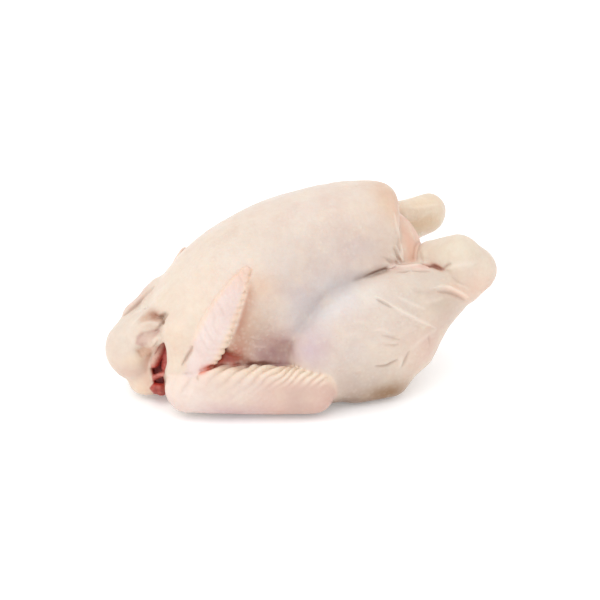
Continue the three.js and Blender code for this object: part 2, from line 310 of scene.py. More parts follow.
def leg(hock, hock_radius):
    return Joined(
        Limb((-33, -50, 44.5), hock, 24.5, hock_radius, swell=5.5),
        (Limb((-34, -52, 25), (8.5, -51, 26), 24, 22.5, across=(0, 1, 0), flat=0.86), 12),
        (Limb((-12, -57, 11), (12, -57, 11), 9.5, 9.5), 9),
        (Limb((26, -46, 36.5), (hock[0] - 5, -46, hock[2] - 4), 23, 9), 11),
        (Limb((-20, -46, 59), (48, -39, 74), 24, 10), 12))


def foot(hock, knob, stub):
    return Joined(Limb(hock[0], knob[0], hock[1], knob[1]), (Limb(*stub), 6))


def forearm():
    return Joined(Limb(*FOREARM, 14.8, 14, swell=1, across=(0.35, -0.9, 0.25), flat=0.9),
                  (Limb(*CREST_BONE, 7, 7), 6))


def behind_hand(side):
    """How far the breast stands back from the hand: more on the side that faces the tail, not at the tip."""
    (x0, _, z0), (x1, _, z1) = HANDS[side][:2]

    def room(P):
        aside = P[..., 0] - (x0 + (x1 - x0) * (P[..., 2] - z0) / (z1 - z0))
        return 0.5 + 1.5 * smooth(aside, -4, 5) * (1 - smooth(P[..., 2], z1 - 14, z1 + 2))

    return room


def beside_leg(P):
    """The same from the thigh: most where their crease is dark."""
    x = P[..., 0]
    return 0.3 + 2.4 * smooth(x, -22, 6) * (1 - smooth(x, 10, 15))


def beside_forearm(P):
    """The same from the forearm's crest, whose scallops stand free."""
    x = P[..., 0]
    return 2 * smooth(x, -112, -100) * (1 - 0.9 * smooth(x, -74, -60))


def shapes():
    """Every shape in order: its name, the shape, its fillet, and for some the room round it and how deep that
    goes. A fillet below 0 cuts."""
    yield "belly", Blob((25, 0, 82), (24.5, 41, 27), -4), 1.8
    yield "pelvis", Blob((14, 0, 36), (38, 46, 34)), 10
    yield "tail", Limb((28, 0, 24), (53, 0, 27), 20, 10, across=(0.1, 0, 1), flat=0.75), 8
    for side in (NEAR, FAR):
        placed = (lambda shape: shape) if side == NEAR else Mirrored
        its = LEGS[side]
        yield "flank", placed(Blob((-76, -68, 36), (32, 17.5, 23))), -13
        yield "leg", placed(leg(*its["hock"])), 2.5, beside_leg, 9
        yield "foot", placed(foot(**its)), 2.5
        yield "upper_arm", placed(Limb((-98, -36, 38), (-52, -46, 20), 14, 11)), 12
        yield "shoulder", placed(Limb((-120, -30, 52), (-120, -35, 18), 12.5, 12)), 9
        yield "forearm", placed(forearm()), 1.5, beside_forearm, 11
        yield "armpit", placed(Limb((-103, -48, 43), (-86, -54, 38), 6, 2.5)), -5
        swell, bow = (5, (-2, -3, 1)) if side == NEAR else (4, (0.5, -1.5, -0.5))
        hand = Limb(*HANDS[side], swell=swell, bow=bow, across=(-0.35, -1, 0.35), flat=0.5)
        yield "hand", placed(hand), 1.8, behind_hand(side), 4
    yield "neck", Joined(
        Limb((-122, 10, 50), (-147, 1, 34), 14, 15.5),
        (Blob((-138, -2, 14), (13, 15, 16)), 7),
        (Blob((-148.3, 2, 30.2), (15, 20, 17)), 5),
        (Limb((-122.5, 20, 62), (-141.2, 20.3, 46.8), 8.2, 6), 3),
        (Limb((-140.5, 20, 47.5), (-147, 11.5, 39.5), 6, 9), 3),
        (Limb((-118, -8, 60), (-140, -10, 46), 14, 11), 6)), 6


# Where the neck was cut: a ragged mouth between its skin and the shoulder, and the soft hollows above it.
# Each has its middle, corners, depth, how it narrows with depth, and how far it starts before the skin.
MOUTH = Pocket((-132.7, -17, 28.8), (
    (4.2, 12.6), (5.4, 8), (5.4, 0), (3.8, -4.4), (2.2, -9), (2.4, -14), (3.4, -23), (-4.2, -23),
    (-4.8, -19.5), (-6.8, -17.2), (-4.2, -14.2), (-4.8, -9.6), (-5.4, -5), (-5.8, 0), (-3.6, 5), (-0.4, 10)),
    9, 0.04, 30)
PIT = Pocket((-135.7, -15.7, 61.2), (
    (-7, -1.6), (-3.4, 1.6), (-1, 3.4), (1.6, 2.8), (3.8, 0.6), (7.8, 0.4), (8, -4.4), (5.6, -2.4),
    (-6.6, -2.6)), 2.6, 0.6, 4)
FACET = Pocket((-140.5, -20.3, 49.5), (
    (-7.4, 0.2), (-4, 3), (3, 4.6), (8, 6), (8, 3), (1.4, -3.4), (-4, -7), (-8.4, -4.6)), 2.2, 0.7, 5)
LOW_FACET = Pocket((-141.7, -18, 37.8), (
    (-6, 1), (-1.4, 3.4), (3.8, 1.6), (2.6, -3), (-3.4, -3.6)), 1.2, 0.7, 5)
# What is taken away: (shape, fillet)
HOLLOWS = (MOUTH, 0.8), (PIT, 2.2), (FACET, 2.2), (LOW_FACET, 2.2), (Blob((54, 0, 50), (9, 14, 8)), 4)
# The flesh that shows in the mouth: (from and to, each across, up and in, the radius at each, fillet)
STRANDS = (
    ((1, 12, 2.2), (-3.8, -0.6, 2.4), 3, 3.4, 1),
    ((5, 9, 4), (3, -3.5, 5), 2.6, 2.8, 1.5),
    ((-4.4, -10.2, 3.2), (4, -6.8, 3.4), 1.7, 1.3, 1.2),
    ((-2.6, -17.4, 5.2), (0, -17.8, 4.6), 3.6, 3.6, 1.5),
    ((1, -18.6, 5.2), (5, -17.2, 5.8), 3.4, 3.4, 1),
)


def build():
    space = Space(LOW, HIGH, CELL)
    where, P = space.block(*TRUNK_BOX)
    space.v[where] = trunk(P)
    for _, shape, fillet, *room in shapes():
        if fillet < 0:
            space.cut(shape, -fillet)
        else:
            space.join(shape, fillet, *room)
    for shape, fillet in HOLLOWS:
        space.cut(shape, fillet)
    for start, end, r0, r1, fillet in STRANDS:
        space.join(Limb(MOUTH.place(*start), MOUTH.place(*end), r0, r1), fillet)
    x, z = (space.low[k] + space.cell * np.arange(space.n[k]) for k in (0, 2))
    under = NECK_RISE * (1 - smooth(x, *NECK_RISES))
    space.v = -soft_min(-space.v, (z[None, None, :] - under[:, None, None]).astype(np.float32), BASE_ROUND)
    return space


# ---- From distances to a mesh

def surface(space):
    """One point in each cell that the surface crosses, one quad round each crossed edge."""
    v = space.v
    inside = v < 0
    nx, ny, nz = v.shape
    corners = list(np.ndindex(2, 2, 2))
    count = sum(inside[i:nx - 1 + i, j:ny - 1 + j, k:nz - 1 + k].astype(np.int8) for i, j, k in corners)
    crossed = (count > 0) & (count < 8)
    cells = np.argwhere(crossed)
    index = -np.ones(crossed.shape, np.int64)
    index[crossed] = np.arange(len(cells))
    value = {c: v[tuple((cells + c).T)].astype(float) for c in corners}
    total, number = np.zeros((len(cells), 3)), np.zeros(len(cells))
    for c in corners:
        for axis in range(3):
            if c[axis]:
                continue
            a, b = value[c], value[tuple(1 if m == axis else c[m] for m in range(3))]
            cut = (a < 0) != (b < 0)
            place = np.tile(np.array(c, float), (cut.sum(), 1))
            place[:, axis] += a[cut] / (a - b)[cut]
            total[cut] += place
            number[cut] += 1
    points = space.low + (cells + total / number[:, None]) * space.cell
    quads = []
    for axis in range(3):
        a, b = np.delete(inside, -1, axis), np.delete(inside, 0, axis)
        edges = np.argwhere(a != b)
        u, w = (np.eye(3, dtype=int)[(axis + k) % 3] for k in (1, 2))
        edges = edges[(edges @ u > 0) & (edges @ w > 0)]
        round_edge = (u + w, w, 0, u)
        ring = np.stack([index[tuple((edges - back).T)] for back in round_edge], 1)
        outward = a[tuple(edges.T)]
        ring[~outward] = ring[~outward][:, ::-1]
        quads.append(ring)
    return points, np.concatenate(quads)


def largest_piece(points, quads):
    """The skin alone: pockets enclosed by flesh are dropped."""
    label = np.arange(len(points))
    while True:
        low = label[quads].min(1)
        new = label.copy()
        for k in range(4):
            np.minimum.at(new, quads[:, k], low)
        new = new[new]
        if (new == label).all():
            break
        label = new
    keep = label == label[np.argmax(points[:, 2])]
    rank = np.cumsum(keep) - 1
    return points[keep], rank[quads[keep[quads[:, 0]]]]


def neighbours(quads):
    a = quads.ravel()
    b = np.roll(quads, -1, 1).ravel()
    return np.concatenate([a, b]), np.concatenate([b, a])


def relax(values, links, amount, turns):
    """Moves each value towards the mean of its neighbours'."""
    a, b = links
    number = np.bincount(a, minlength=len(values))
    for _ in range(turns):
        mean = np.stack([np.bincount(a, column[b], len(values)) for column in values.T], 1)
        values = values + amount * (mean / number[:, None] - values)
    return values


def normals_of(points, quads):
    p = points[quads]
    face = np.cross(p[:, 2] - p[:, 0], p[:, 3] - p[:, 1])
    out = np.zeros_like(points)
    for k in range(4):
        for m in range(3):
            out[:, m] += np.bincount(quads[:, k], face[:, m], len(points))
    return out / (np.linalg.norm(out, axis=1, keepdims=True) + 1e-9)


# ---- Noise

class Noise:
    """Smooth seeded noise from -1 to 1."""

    def __init__(self, seed):
        self.table = np.random.default_rng(seed).uniform(-1, 1, (32, 32, 32))

    def __call__(self, P):
        i = np.floor(P).astype(int)
        f = P - i
        return between(self.table, i, f * f * (3 - 2 * f))


# ---- Skin: what lies on the surface, kept for each point of the mesh

def tone(r, g, b):
    """A colour given in 0 to 255 as on a screen, in the renderer's own units."""
    c = np.array((r, g, b)) / 255
    return np.where(c > 0.04045, ((c + 0.055) / 1.055) ** 2.4, c / 12.92)


SKIN = (243, 226, 207)
UNDER_LIGHT = 0.755  # how much darker the skin is than its tint, under a light that turns the floor white
OFF_SKIN = 4.0  # how far above or below the skin a path may run and still be on it


def curve(path):
    """More points on a smooth line through a path's own."""
    path = np.array(path, float)
    if len(path) == 2:
        return path
    at = np.concatenate(([0], np.cumsum(np.linalg.norm(np.diff(path, axis=0), axis=1))))
    fine = np.linspace(0, at[-1], 4 * len(path) - 3)
    return np.stack([along(fine, at, path[:, k]) for k in range(3)], 1)


def stroke(P, N, path, width, taper=0):
    """Closeness to a path, 1 on it, along the skin, narrower towards its ends by the taper's share."""
    path = curve(path)
    reach = 2.6 * width + OFF_SKIN
    close = ((P > path.min(0) - reach) & (P < path.max(0) + reach)).all(1)
    p, n = P[close], N[close]
    best, place = np.full(len(p), 1e9), np.zeros(len(p))
    for k in range(len(path) - 1):
        a, b = path[k], path[k + 1]
        t = np.clip((p - a) @ (b - a) / ((b - a) @ (b - a)), 0, 1)
        w = p - a - t[:, None] * (b - a)
        off = (w * n).sum(1)
        d = (w * w).sum(1) - off ** 2 + np.maximum(np.abs(off) - OFF_SKIN, 0) ** 2
        nearer = d < best
        best[nearer], place[nearer] = d[nearer], (k + t[nearer]) / (len(path) - 1)
    near, full = np.zeros(len(P)), 1 - taper + taper * np.sqrt(np.clip(4 * place * (1 - place), 0, 1))
    near[close] = np.exp(-best / (width * full) ** 2) * full
    return near


def spot(P, centre, reach):
    """1 at the centre, falling smoothly to 0 over about the reach."""
    q = (P - np.array(centre, float)) / np.array(reach, float)
    return np.exp(-(q * q).sum(-1))


class Skin:
    """For each point: how far the skin stands out, its tint, how creased it is, which the material paints as
    shade, how much it rides on a fold's ridge, which the material paints as highlight and partly as paler skin,
    how raw it is, and how open: how much less painted shade it gets than other shut-in places."""

    def __init__(self, P, N):
        self.P, self.N = P, N
        to_near = np.where((P[:, 1:2] > 0) & (np.arange(3) == 1), -1.0, 1.0)
        self.Q, self.M = P * to_near, N * to_near  # with the far side brought to the near side
        self.tint = np.tile(tone(*SKIN), (len(P), 1))
        self.lift, self.groove, self.ridge, self.raw, self.open = (np.zeros(len(P)) for _ in range(5))

    def paint(self, color, over):
        self.tint += np.clip(over, 0, 1)[:, None] * (tone(*color) - self.tint)

    def mark(self, what, share):
        """Raises one of these to a share, where it is less."""
        setattr(self, what, np.maximum(getattr(self, what), share))

    def fold(self, P, N, path, width, height):
        """A fold of loose skin, or a crease where its height is below 0, that runs out at both ends. A crease
        is marked for painted shade, a ridge for painted highlight.
        """
        near = stroke(P, N, path, width, 0.75)
        self.lift += height * near
        if height < 0:
            self.mark("groove", near * min(1, (-height / 1.6) ** 1.3))
        else:
            self.mark("ridge", near * min(1, height / 1.1))


# Folds of loose skin on both sides: (path, width, height)
LEG_FOLDS = (
    (((-3.5, -64, 77), (7.5, -70, 70), (20.5, -72, 61.5), (36, -67.5, 51)), 1.3, 1.15),
    (((-3.5, -65.5, 75.5), (1.5, -68, 72.5), (6, -70, 69.5)), 0.9, -0.85),
    (((11, -66, 75), (19.5, -69, 70), (28, -70.5, 66)), 1.5, 0.75),
    (((36.5, -63.5, 76.5), (44.5, -63, 76.5), (51.5, -63.5, 73), (61.5, -62, 66)), 1.4, 1.4),
    (((38, -65, 74.5), (47.5, -65, 72), (59.5, -62, 64)), 1.3, -0.9),
    (((51, -58.5, 80), (54.5, -60.5, 77.5), (58.5, -61.5, 74.5)), 1, -0.45),
    (((53, -61.5, 76), (57, -61.5, 74.5), (61.5, -62, 71)), 1.1, 0.6),
    (((48, -54, 84.5), (53, -58.5, 88), (66, -60.5, 89.5)), 1.8, 0.8),
    (((28.5, -69, 69.5), (35, -68, 70), (42, -66.5, 70.5)), 1.5, 0.5),
    (((21.5, -63.5, 78), (29, -65.5, 75), (37.5, -65, 75)), 2, -0.4),
    (((-3.5, -75, 54.5), (4.5, -74.5, 51), (10.5, -73, 47.5)), 0.9, -0.55),
    (((-1, -74.5, 47), (4.5, -74, 45), (10, -73, 44)), 0.9, -0.55),
    (((-9.5, -75, 58), (-2.5, -74.5, 58), (3.5, -74.5, 54)), 1.4, 0.5),
    (((-4, -75, 51.5), (3, -74.5, 48.5), (9, -73, 45)), 1.2, 0.4),
    (((-23, -72.5, 64), (-15.5, -73, 64.5), (-9.5, -74, 61)), 1.4, 0.35),
    (((-30.5, -73.5, 56), (-23, -75, 57.5), (-15, -75.5, 55)), 1.4, 0.35),
    (((18.5, -73, 57.5), (22, -72, 55), (25.5, -71, 53.5)), 0.9, -0.25),
    (((-6.5, -73.5, 32), (1.5, -73, 30.5), (6, -72.5, 31.5), (10.5, -72.5, 33.5)), 0.9, -1.1),
    (((18, -71.5, 38.5), (15.5, -72, 32.5), (12.5, -72.5, 27)), 0.9, -0.95),
    (((38, -66.5, 49.5), (29.5, -68.5, 46.5), (18, -71.5, 39)), 1.8, 0.55),
    (((31, -68, 47), (32.5, -66.5, 42), (33, -66, 37.5)), 1.1, -0.45),
    (((11, -72.5, 37), (12.5, -72, 32), (11, -72.5, 27)), 1.5, 0.6),
)
REAR_FOLDS = (
    (((52, -9, 41), (44, -17, 47), (36, -26, 54)), 1.6, 0.7),
    (((50, -13, 34), (42, -22, 38), (34, -31, 42)), 1.6, 0.7),
    (((51, -11, 38), (43, -19.5, 42.5), (35, -28, 48)), 1.2, -0.6),
    (((44, -8, 58), (41, -16, 60), (38, -24, 65)), 1.5, 0.6),
    (((44, -18, 24), (36, -27, 26), (28, -36, 28)), 1.6, -0.5),
    (((47, -34, 56), (41, -33, 62), (39, -34, 70)), 1.6, -0.7),
)
GATHER_FOLDS = (
    (((19, -40, 99), (22.5, -38, 92), (24.5, -41, 86.5)), 1.1, 1.1),
    (((14, -43.5, 95.5), (19, -41.5, 90), (23, -41, 86)), 1, 0.7),
    (((16.5, -40, 97.5), (20.5, -39.5, 91.5), (23.5, -41, 86.5)), 0.9, -0.7),
    (((10.5, -45.5, 92.5), (16.5, -43, 87.5)), 1, -0.9),
    (((6.5, -45, 95), (12, -45.5, 92.5), (19, -41, 87)), 0.9, -0.5),
    (((10.5, -46, 87), (18, -42.5, 85.5), (22.5, -45, 86), (28.5, -45.5, 86), (34, -46.5, 86),
      (38, -51, 85)), 1.5, 1.3),
    (((16.5, -49.5, 85), (21, -50.5, 85), (25.5, -50, 85.5)), 1, -0.9),
    (((26, -50.5, 85), (32, -52.5, 84.5), (38, -53.5, 84)), 0.9, -0.8),
    (((23, -27, 116.5), (22.5, -33.5, 108), (24.5, -35, 96.5), (25, -40.5, 87)), 1.0, 1.1),
    (((37.5, -37, 91), (36.5, -41, 89), (36.5, -45, 86.5)), 1.2, -0.4),
    (((35, -47, 86), (38.5, -48.5, 85.5), (42, -50, 85.5), (45, -53, 84.5), (47, -55, 84)), 0.9, -1.6),
    (((46.5, -54.5, 84), (48, -56, 87), (50.5, -58.5, 89.5)), 1, -0.9),
)
WING_FOLDS = (
    (((-117.8, -44.2, 50.5), (-118.7, -44.3, 47.7), (-120.7, -44, 43.7), (-122.7, -43.9, 40.5),
      (-124.8, -43.6, 37.5)), 1, -1.3),
    (((-115, -49, 34.5), (-112, -50, 35), (-108.5, -51, 36.5), (-102.5, -47.5, 36)), 1.1, -1.2),
    (((-116, -49, 29), (-112, -49.5, 29), (-106.5, -47.5, 31.5)), 0.9, -1),
    (((-123.5, -44.5, 32), (-118.5, -47, 32.5)), 0.9, -0.5),
    (((-119, -47.5, 30.5), (-123.5, -49.5, 26.5), (-127.5, -50.5, 22)), 1.2, -0.45),
    (((-127, -42.5, 33.5), (-131, -42, 27.5), (-133.5, -45, 22.5)), 1.5, 0.4),
    (((-118, -52, 26), (-122.5, -53, 21), (-124.5, -53, 15.5)), 1.4, 0.35),
    (((-82.5, -53, 54.5), (-79, -53, 52.5), (-74.5, -53.5, 52)), 0.8, 0.3),
    (((-81, -52, 48.5), (-76, -52, 46.5), (-70.5, -52, 45.5)), 0.8, 0.3),
    (((-70.5, -55.5, 65), (-68.5, -56.5, 61), (-68, -56, 56)), 0.9, 0.25),
)
# The same where the two sides differ: the neck, the far leg's stub, and the flap of belly on the near side
OWN_FOLDS = (
    (((-148, 16, 48.5), (-143.5, 16.5, 53), (-139.5, 16.5, 56.5), (-134, 16.5, 61.5)), 1.6, -1.3),
    (((-135, 16.5, 60.5), (-131, 15, 64.5), (-127, 13.5, 68)), 1.8, -0.7),
    (((-133, -30.5, 55.5), (-135, -22, 48), (-139, -18.5, 41)), 1.2, 0.7),
    (((-144, -14.5, 55.5), (-138, -17.5, 57.5), (-132.5, -21.5, 57)), 1.6, 0.7),
    (((-133, -21, 42.5), (-136, -15, 34), (-139, -15, 27), (-139.5, -16, 19)), 1.2, 0.6),
    (((57, 27.5, 95.5), (70, 32, 93.5), (82, 35.5, 92.5)), 1.4, 0.6),
    (((63.5, 28.5, 84.5), (68.5, 29, 88.5), (75.5, 31.5, 90)), 1.4, 0.4),
    (((36, -23, 101), (37, -26, 98), (36.5, -29, 96)), 0.9, 0.5),
)

# Tints of the skin on both sides, laid one over another: (colour, middle, reach, amount). Some are painted
# shade or painted sheen where the light falls, as marked.
TINTS = (
    # painted shade, partly the mauve of muscle under the skin: the breast's flank darker away from the light
    ((225, 209, 199), (-48, -48, 92), (48, 34, 34), 0.85),
    ((246, 230, 216), (-96, -36, 84), (28, 26, 26), 0.75),
    ((242, 226, 213), (-30, -20, 124), (60, 30, 14), 0.8),
    # the next two: painted shade lower on the flank, partly mauve skin
    ((222, 202, 194), (-4, -44, 102), (26, 14, 18), 0.85),
    ((212, 198, 196), (-46, -57, 76), (20, 10, 18), 0.85),
    ((230, 190, 158), (23, -14, 121), (12, 30, 13), 0.8),
    ((226, 202, 184), (14, -42, 97), (13, 12, 14), 0.6),
    ((240, 208, 180), (-75, -48, 86), (11, 10, 10), 0.7),
    # the next three: painted shade on the breast behind the hand and above the forearm
    ((214, 188, 168), (-78, -53, 62), (15, 8, 15), 0.85),
    ((204, 168, 146), (-86, -51, 50), (11, 8, 12), 0.75),
    ((196, 148, 144), (-68, -54, 44), (15, 12, 13), 0.8),
    ((250, 232, 212), (-112, -30, 78), (24, 26, 22), 0.6),
    ((249, 226, 203), (-127, -38, 50), (9, 14, 22), 0.7),
    # painted sheen on the thigh's upper side, partly its pale grey skin
    ((243, 240, 238), (-24, -62, 74), (24, 12, 20), 0.9),
    ((235, 217, 203), (2, -74, 56), (26, 14, 20), 0.8),
    ((222, 205, 192), (22, -68, 72), (16, 12, 10), 0.75),
    ((216, 192, 200), (-46, -66, 48), (16, 14, 14), 0.85),
    ((226, 212, 204), (-24, -72, 44), (14, 14, 14), 0.6),
    # the next three: painted shade on the thigh's underside and its foot on the table, partly brown skin
    ((208, 188, 176), (-16, -73, 22), (26, 18, 12), 0.8),
    ((164, 138, 122), (-20, -66, 5), (34, 20, 9), 0.9),
    ((160, 122, 84), (5, -68, 9), (16, 16, 9), 0.95),
    ((232, 198, 182), (31, -66, 38), (14, 14, 18), 0.85),
    ((244, 210, 188), (66, -61, 70), (14, 12, 11), 0.85),
    ((222, 206, 194), (34, -58, 82), (14, 12, 7), 0.6),
    ((240, 226, 204), (56, -50, 98), (30, 20, 12), 0.9),
    # painted shade below the hock's fold
    ((206, 184, 154), (41, -66, 66), (9, 8, 5), 0.5),
    ((220, 200, 184), (46, -62, 60), (18, 12, 16), 0.8),
)
# Lines of colour on both sides: (colour, path, width, amount). Some are painted shade in creases and hollows or
# painted highlight on a fold, as marked.
TINT_LINES = (
    ((246, 206, 192), ((12, -46, 86), (22, -44, 86), (38, -51, 85)), 3.5, 0.7),
    ((240, 204, 180), ((24, -14, 124), (24.5, -30, 112), (27, -34, 100), (26.5, -40, 87)), 4, 0.7),
    # the next two: painted shade, partly red flesh: the hand's shadow down its edge and the red hollow where
    # hand and forearm meet
    ((186, 118, 98), ((-88, -51, 52), (-93.5, -48, 43), (-101, -45.5, 37)), 7, 0.9),
    ((166, 82, 68), ((-91, -50, 46), (-95, -47, 41), (-101, -47, 36)), 5, 0.95),
    # the next two: painted shade on the breast above the forearm
    ((186, 148, 144), ((-74, -52, 42), (-66, -52, 43), (-59, -55, 46)), 6, 0.6),
    ((174, 130, 128), ((-80, -52, 39), (-72, -52, 40), (-62, -54, 42), (-57, -57, 48)), 5, 0.7),
    # painted shade: the dark crease between breast and thigh, then the grey shade on the breast above it
    ((140, 112, 100), ((-14, -50.5, 83.5), (-4, -48, 85), (5, -46, 86), (11, -45.5, 87)), 2.6, 0.75),
    ((194, 182, 180), ((-53.5, -59.5, 59), (-39.5, -57.5, 73.5), (-25.5, -53.5, 81.5), (-11, -49.5, 86)),
     8, 0.7),
    ((250, 212, 190), ((-137, -18, 44), (-140, -15, 30), (-141, -16, 14)), 3, 0.7),
    # painted highlight, partly peach skin, along the ridge of the hock's fold
    ((254, 214, 188), ((46, -63, 76), (53, -63, 72), (61.5, -61, 66)), 3, 0.7),
    # painted shade, partly red-orange skin, in the crevice by the near stub
    ((214, 150, 128), ((34, -47, 86), (38.5, -48.5, 85.5), (42, -50, 85.5), (47, -54.5, 84)), 2.2, 0.85),
)
# Lines of painted shade in the valleys next to the wing, partly the red of raw flesh, laid on before the wing's
# own skin
VALLEY_SHADE_LINES = (
    ((190, 106, 84), ((-98, -46, 38), (-91, -48.5, 38.5), (-86, -50.5, 38.5)), 4.5, 0.85),
    ((188, 84, 64), ((-104, -47, 38.5), (-99, -45.5, 38), (-95, -45.5, 41), (-91, -48, 44)), 5, 1),
    ((182, 96, 78), ((-101, -47, 36), (-96, -48.5, 35.5), (-88.5, -49.7, 35)), 2.6, 1),
    ((190, 142, 124), ((-88.5, -50, 36), (-82, -53, 36), (-76, -53.7, 35.5)), 3, 0.9),
    ((178, 132, 130), ((-76, -53.7, 36), (-66, -54, 35), (-58, -57, 34)), 3, 0.9),
    ((230, 112, 84), ((-116.5, -48.5, 37), (-111.5, -50.3, 36.7), (-105.7, -50.1, 36.6), (-99.6, -47, 37)),
     2.6, 0.95),
)
# The red fold of flesh where the hand meets the forearm, and painted shade, partly red, at the foot of the
# valley, laid on over that skin
FOLD_LINES = (
    ((240, 122, 94), ((-115, -50.6, 34), (-112, -51.7, 35.9), (-107.6, -50.1, 36.8), (-102.4, -46, 36.4),
                      (-99, -45.7, 38)), 2.2, 0.9),
    ((204, 104, 82), ((-101, -47.2, 35.1), (-95.9, -47.7, 35.4), (-88.5, -49.5, 35)), 2, 0.85),
    ((190, 140, 126), ((-88.5, -49.5, 35), (-81.3, -51.9, 34.9), (-71, -52.8, 34.5)), 2, 0.8),
)
# Tints of what is on one side only: the neck and the far leg. Some are painted shade or light, as marked.
OWN_TINTS = (
    ((240, 227, 212), (-157, -6, 44), (14, 20, 16), 0.8),
    ((238, 208, 190), (-151, -13, 22), (12, 14, 11), 0.85),
    ((255, 230, 204), (-144, -14, 10), (9, 10, 8), 0.95),
    ((252, 226, 196), (-147, -18, 33), (8, 6, 4), 0.6),
    # the next two: painted shade, warm brown, in the pit under the breast's edge
    ((184, 122, 90), (-134.5, -14, 60.5), (6, 7, 3.6), 0.9),
    ((218, 180, 152), (-141, -12, 59), (5, 7, 3), 0.7),
    ((236, 206, 198), (-136, 24, 56), (16, 7, 16), 0.8),
    # the next two: the far stub painted light on its top and shade on its underside, partly its cream and tan
    ((250, 230, 200), (70, 30, 96), (20, 22, 5), 0.85),
    ((240, 214, 179), (68, 30, 82), (20, 22, 9), 0.9),
)
FACET_SIDE, LOW_FACET_SIDE = (226, 190, 178), (230, 190, 162)
PANEL = (244, 200, 175)  # the cut skin between breast and legs
# painted shadow of the hand on the breast next to its edge that faces the tail: a soft outer part and a darker
# part near the edge
HAND_SHADOW_SOFT, HAND_SHADOW_DARK = (214, 172, 146), (192, 138, 114)
FLESH, CLOT = (214, 90, 76), (130, 26, 16)
SHEET = (0.6, 11), (-4.8, 0.6)  # a pale sheet of skin across the mouth
# What shows in the mouth: (colour, line from and to in its millimetres across and up, width, amount)
MOUTH_TINTS = (
    ((226, 118, 102), (5, 8), (2.8, -4), 2, 0.85),
    ((255, 216, 194), *SHEET, 2.9, 0.95),
    ((206, 60, 48), (3.8, 10), (0, -1.4), 0.8, 0.8),
    ((196, 16, 6), (-0.4, -3), (-4.4, -6.6), 1.7, 1),
    ((240, 152, 138), (-5.6, -10.6), (3.6, -7), 1.5, 0.95),
    ((190, 14, 4), (-4.6, -14), (4, -11.6), 1.6, 1),
    ((188, 96, 80), (-6.6, -19.4), (4.6, -18.4), 3.4, 0.9),
    ((164, 62, 52), (-3.4, -17), (-1.6, -22), 0.7, 0.7),
    ((164, 62, 52), (1.6, -16.4), (0.6, -21), 0.6, 0.6),
)
CREST, FOREARM_SIDE, FOREARM_FOOT = (255, 230, 202), (242, 220, 207), (226, 196, 194)
ELBOW, BEFORE_ELBOW, WRIST = (232, 197, 181), (208, 178, 166), (255, 238, 226)
HAND, HAND_RIM, HAND_TIP = (250, 230, 222), (255, 226, 198), (246, 204, 174)
FAR_TIP = (-101, 40, 79), (9, 6, 9)  # middle and reach of the far wing's tip, which shows over the breast
# Places that get less painted crease shade than other shut-in ones, on both sides: (middle, reach, amount)
OPEN = (
    ((-99, -47, 39), (13, 8, 8), 0.75),
    ((-64, -55, 35), (19, 7, 7), 0.6),
    ((-107, -49, 36), (12, 6, 6), 0.85),
)
OWN_OPEN = ((-135, -14, 60), (8, 8, 5), 0.55), (*FAR_TIP, 0.9)
# Feather sockets and wrinkles: millimetres from one to the next, and where the forearm's get finer
SOCKETS, ELBOW_SOCKETS, HAND_SOCKETS, WRINKLES = 8.7, 5.6, 4.7, 7.5
FINER_FROM = 56
SCALLOP_POWER, SCALLOP_MEAN = 0.9, 0.62
CREST_AT = 2.5  # how far below the forearm's top its crest runs
# Lumps of the whole skin: (height, size), and of the loose skin on the thigh, where and how far that reaches
LUMPS = (0.5, 24), (0.25, 9), (0.1, 4)
LOOSE_LUMPS, LOOSE_SKIN = (0.6, (9, 5, 3.5)), ((5, -72, 45), (34, 14, 22))
# How closed in a place is: how far out that is read, and the share of each
CLOSENESS = (2.5, 0.35), (6, 0.35), (13, 0.3)


def on_skin(shape, P, reach):
    """1 on the skin of a shape, falling to 0 off it."""
    return np.exp(-(shape(P) / reach) ** 2)


def scallops(phase):
    """Rounded ridges with sharp valleys between them, level on the whole."""
    return np.abs(np.sin(np.pi * phase)) ** SCALLOP_POWER - SCALLOP_MEAN


def along_limb(limb, P):
    """Millimetres along a limb, also past its ends, and round it from its top."""
    _, w, _ = limb.frame_of(P)
    axis = limb.b - limb.a
    length = np.linalg.norm(axis)
    up = unit(np.array((0, 0, 1.0)) - axis * axis[2] / length ** 2)
    out = np.cross(up, axis / length)
    out *= np.sign(-out[1])
    return (P - limb.a) @ axis / length, np.arctan2(w @ out, w @ up) * limb.r1


